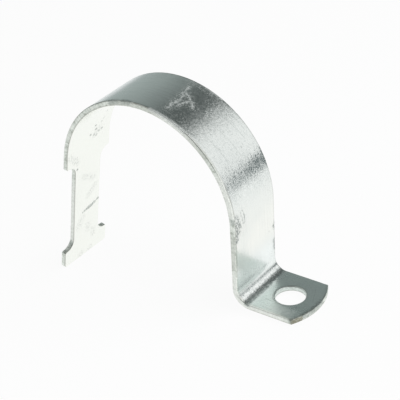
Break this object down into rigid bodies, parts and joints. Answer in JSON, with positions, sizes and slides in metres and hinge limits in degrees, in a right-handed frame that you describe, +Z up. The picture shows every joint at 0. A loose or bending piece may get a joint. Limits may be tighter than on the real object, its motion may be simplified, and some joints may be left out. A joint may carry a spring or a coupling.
{
  "type": "pipe clamp",
  "caption": "Bent steel strap that arches over a pipe, with a T foot to hook under a channel's lips on one side and a drilled flange to bolt down on the other.",
  "frame": {"origin": "on the axis of the pipe seat, at the middle of the strip's width", "axes": "+Z up from the flange to the crown of the arch with the flange level, +X from the hook leg to the flange, +Y along the pipe"},
  "size_m": [0.1358, 0.03, 0.1025],
  "materials": {
    "zinc_plated_steel": "bright zinc plate over cold-rolled strip, satin, lightly scuffed, with bare sheared edges plated over"
  },
  "bodies": {
    "root": {"clamp_strap": "zinc_plated_steel"}
  },
  "joints": []
}
